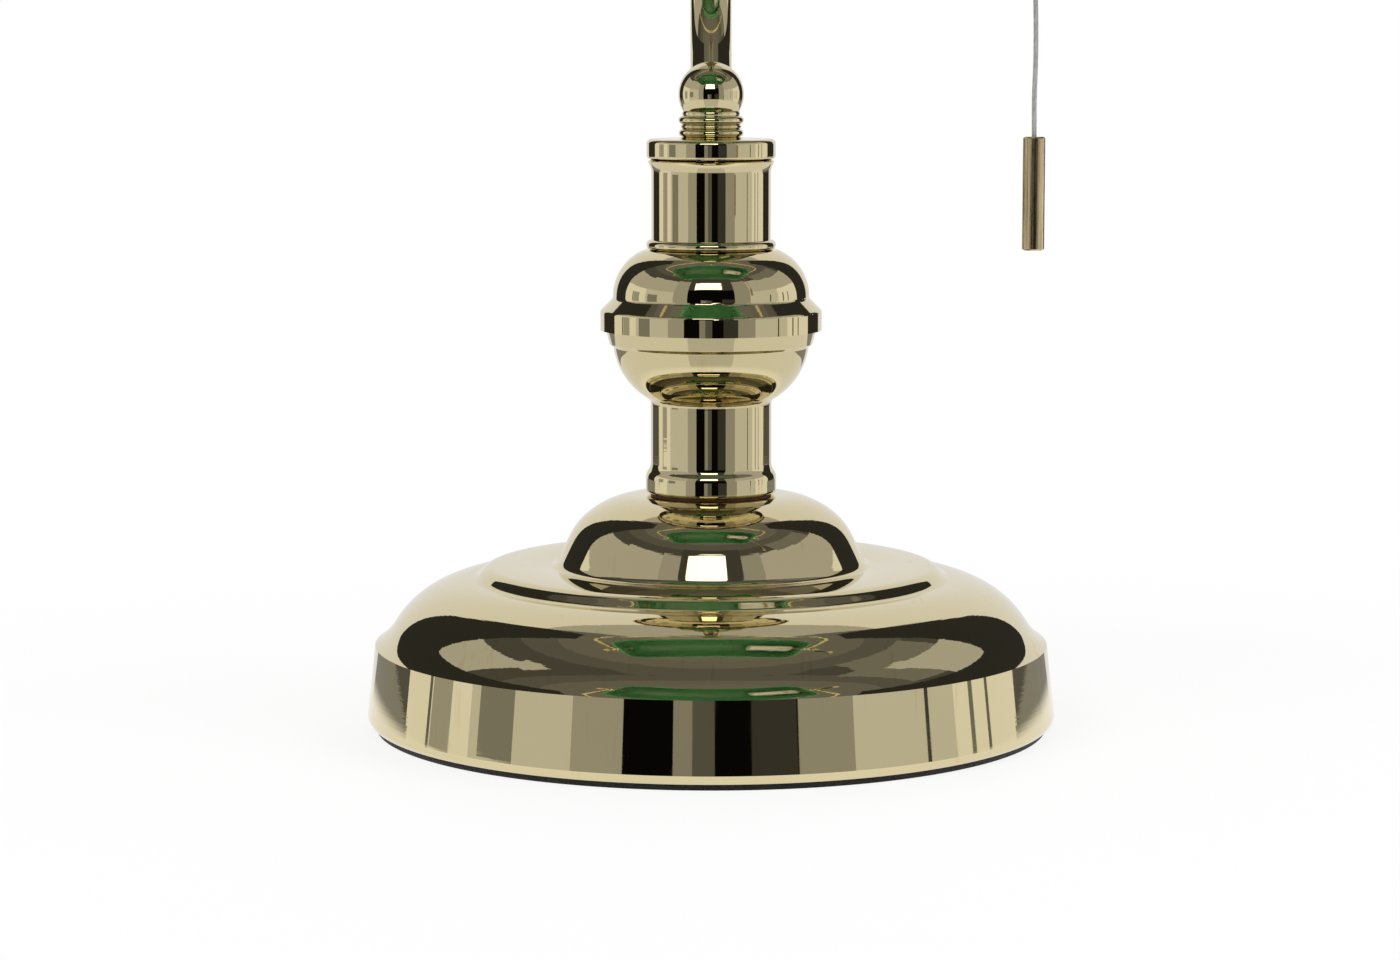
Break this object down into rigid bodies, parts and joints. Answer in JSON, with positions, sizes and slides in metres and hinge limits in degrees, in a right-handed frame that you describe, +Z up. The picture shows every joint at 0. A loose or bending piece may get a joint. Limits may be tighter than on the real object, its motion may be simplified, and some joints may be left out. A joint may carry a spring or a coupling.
{
  "type": "desk lamp",
  "caption": "Banker's desk lamp: polished brass base and column, swan-neck arm, green glass shade that tilts in a brass bow, and a pull-cord switch.",
  "frame": {"origin": "centre of the base's underside, on the table", "axes": "+Z up the column, -Y to the front, where the user sits, +X to the user's right"},
  "size_m": [0.2918, 0.25, 0.366],
  "materials": {
    "polished_brass": "polished and lacquered",
    "plain_brass": "turned",
    "aged_brass": "darkened, brushed lengthwise",
    "steel": "zinc plated",
    "cast_iron": "as cast",
    "felt": "black felt",
    "cord": "braided",
    "fibre": "fibre",
    "black_plastic": "moulded",
    "porcelain": "glazed",
    "green_glass": "deep green, glossy",
    "white_plastic": "moulded"
  },
  "bodies": {
    "stand": {"felt_pad": "felt", "bottom_plate": "steel", "plate_screws": "steel", "base_shell": "polished_brass", "base_weight": "cast_iron", "base_washer": "steel", "base_nut": "steel", "cable_bush": "black_plastic", "through_tube": "steel", "seat_washer": "fibre", "lower_sleeve": "polished_brass", "lower_bowl": "polished_brass", "crown": "polished_brass", "upper_sleeve": "polished_brass", "top_cap": "polished_brass", "neck": "polished_brass", "arm_ball": "polished_brass", "arm_tube": "polished_brass", "hub": "polished_brass", "finial": "polished_brass", "bow_tube": "polished_brass", "end_ball_left": "polished_brass", "end_ball_right": "polished_brass", "friction_washer_left": "fibre", "friction_washer_right": "fibre", "pivot_nipple": "plain_brass", "nipple_nut": "plain_brass", "holder_cap": "white_plastic", "holder_shell": "white_plastic", "holder_core": "porcelain", "screw_shell": "plain_brass", "centre_contact": "plain_brass", "switch_block": "black_plastic", "cord_nozzle": "plain_brass"},
    "shade": {"shade_glass": "green_glass", "ferrule_left": "polished_brass", "ferrule_right": "polished_brass", "ferrule_nut_left": "plain_brass", "ferrule_nut_right": "plain_brass"},
    "pull": {"pull_plunger": "fibre", "pull_cord": "cord", "pull_weight": "aged_brass"},
    "knob_left": {"tilt_knob_left": "polished_brass"},
    "knob_right": {"tilt_knob_right": "polished_brass"}
  },
  "joints": [
    {"name": "shade_tilt", "type": "hinge", "parent": "stand", "child": "shade", "pos_m": [0, -0.08844, 0.32801], "axis": [1, 0, 0], "range_deg": [-40, 30]},
    {"name": "pull_switch", "type": "slide", "parent": "stand", "child": "pull", "axis": [0, 0, -1], "range_m": [0, 0.007], "stiffness_N_per_m": 250, "springref_m": -0.002},
    {"name": "knob_left_turn", "type": "hinge", "parent": "stand", "child": "knob_left", "pos_m": [-0.1286, -0.08844, 0.32801], "axis": [-1, 0, 0], "continuous": true},
    {"name": "knob_right_turn", "type": "hinge", "parent": "stand", "child": "knob_right", "pos_m": [0.1286, -0.08844, 0.32801], "axis": [1, 0, 0], "continuous": true}
  ]
}
